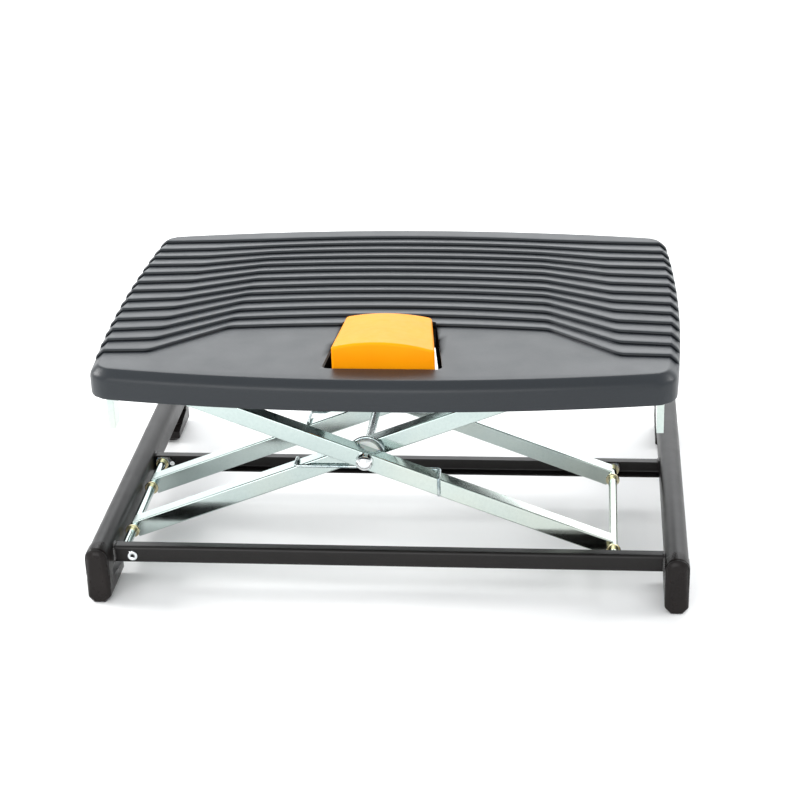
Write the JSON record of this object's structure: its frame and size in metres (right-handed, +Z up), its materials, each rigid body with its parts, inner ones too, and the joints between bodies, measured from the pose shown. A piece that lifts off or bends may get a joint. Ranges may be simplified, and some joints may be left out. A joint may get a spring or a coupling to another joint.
{
  "type": "footrest",
  "caption": "Height-adjustable scissor footrest: ribbed grey tray on crossed zinc channels over a black tubular base, with a sprung orange foot pedal that frees the height lock.",
  "frame": {"origin": "on the floor under the centre of the bounding box at the rest height", "axes": "+X along the long side to the user's right, +Y away from the user towards the back, +Z up"},
  "size_m": [0.521, 0.392, 0.2405],
  "materials": {
    "base_coat": "gloss black powder coat",
    "boot_plastic": "fine matt moulding",
    "zinc_plate": "bright zinc with a pale green cast",
    "screw_zinc": "bright zinc",
    "washer_zinc": "yellow zinc",
    "cap_chrome": "polished",
    "spring_steel": "zinc-plated wire",
    "bush_plastic": "natural nylon",
    "deck_plastic": "satin slate-grey moulding",
    "pedal_plastic": "gloss orange"
  },
  "bodies": {
    "base": {"base_tube_left": "base_coat", "base_tube_right": "base_coat", "front_rail": "base_coat", "rear_rail": "base_coat", "boot_front_left": "boot_plastic", "boot_front_right": "boot_plastic", "boot_rear_left": "boot_plastic", "boot_rear_right": "boot_plastic", "base_stop_screws": "screw_zinc"},
    "arms_b": {"arm_b_front": "zinc_plate", "arm_b_rear": "zinc_plate", "lower_pivot_rod": "zinc_plate", "upper_slide_rod": "zinc_plate", "lower_pivot_bushes": "bush_plastic", "upper_slide_rollers": "bush_plastic", "rod_washers_b": "washer_zinc", "centre_axle": "screw_zinc", "dome_cap_front": "cap_chrome", "dome_cap_rear": "cap_chrome"},
    "arms_a": {"arm_a_front": "zinc_plate", "arm_a_rear": "zinc_plate", "lower_slide_rod": "zinc_plate", "upper_pivot_rod": "zinc_plate", "lower_slide_rollers": "bush_plastic", "upper_pivot_bushes": "bush_plastic", "rod_washers_a": "washer_zinc", "spring_bush_front": "bush_plastic", "spring_bush_rear": "bush_plastic", "torsion_spring_front": "spring_steel", "torsion_spring_rear": "spring_steel"},
    "platform": {"deck": "deck_plastic", "upper_rail_front": "zinc_plate", "upper_rail_rear": "zinc_plate", "side_angle_left": "zinc_plate", "side_angle_right": "zinc_plate", "guide_stop_left": "zinc_plate", "guide_stop_right": "zinc_plate", "mechanism_bracket": "zinc_plate", "pedal_pin": "screw_zinc", "upper_stop_screws": "screw_zinc", "deck_screws": "screw_zinc", "lock_spring": "spring_steel", "pedal_spring": "spring_steel"},
    "lock_bar": {"lock_bar": "zinc_plate"},
    "lock_lever": {"lock_lever": "zinc_plate"},
    "pedal": {"pedal": "pedal_plastic"}
  },
  "joints": [
    {"name": "lift", "type": "hinge", "parent": "base", "child": "arms_b", "pos_m": [-0.2325, 0, 0.034], "axis": [0, -1, 0], "range_deg": [-13.96, 11.2]},
    {"name": "scissor", "type": "hinge", "parent": "arms_b", "child": "arms_a", "pos_m": [-0.01796, 0, 0.1169], "axis": [0, -1, 0], "range_deg": [-22.41, 27.93], "deforming": ["torsion_spring_front", "torsion_spring_rear"]},
    {"name": "tray_level", "type": "hinge", "parent": "arms_a", "child": "platform", "pos_m": [-0.2325, 0, 0.1998], "axis": [0, -1, 0], "range_deg": [-13.97, 11.21]},
    {"name": "lock_bar_turn", "type": "hinge", "parent": "arms_b", "child": "lock_bar", "pos_m": [0.19658, -0.052, 0.1998], "axis": [0, -1, 0], "range_deg": [-11.21, 13.97]},
    {"name": "pedal_press", "type": "hinge", "parent": "platform", "child": "pedal", "pos_m": [0, -0.066, 0.205], "axis": [1, 0, 0], "range_deg": [0, 5], "stiffness_Nm_per_rad": 2, "springref_deg": -5.73, "deforming": ["pedal_spring"]},
    {"name": "lock_lever_tilt", "type": "hinge", "parent": "platform", "child": "lock_lever", "pos_m": [0.02, -0.052, 0.1998], "axis": [0, -1, 0], "range_deg": [0, 5.01], "deforming": ["lock_spring"]}
  ],
  "couplings": [
    {"joint": "scissor", "follows": "lift", "ratio": -2},
    {"joint": "tray_level", "follows": "lift", "ratio": 1},
    {"joint": "lock_bar_turn", "follows": "lift", "ratio": -1},
    {"joint": "lock_lever_tilt", "follows": "pedal_press", "ratio": 1}
  ]
}
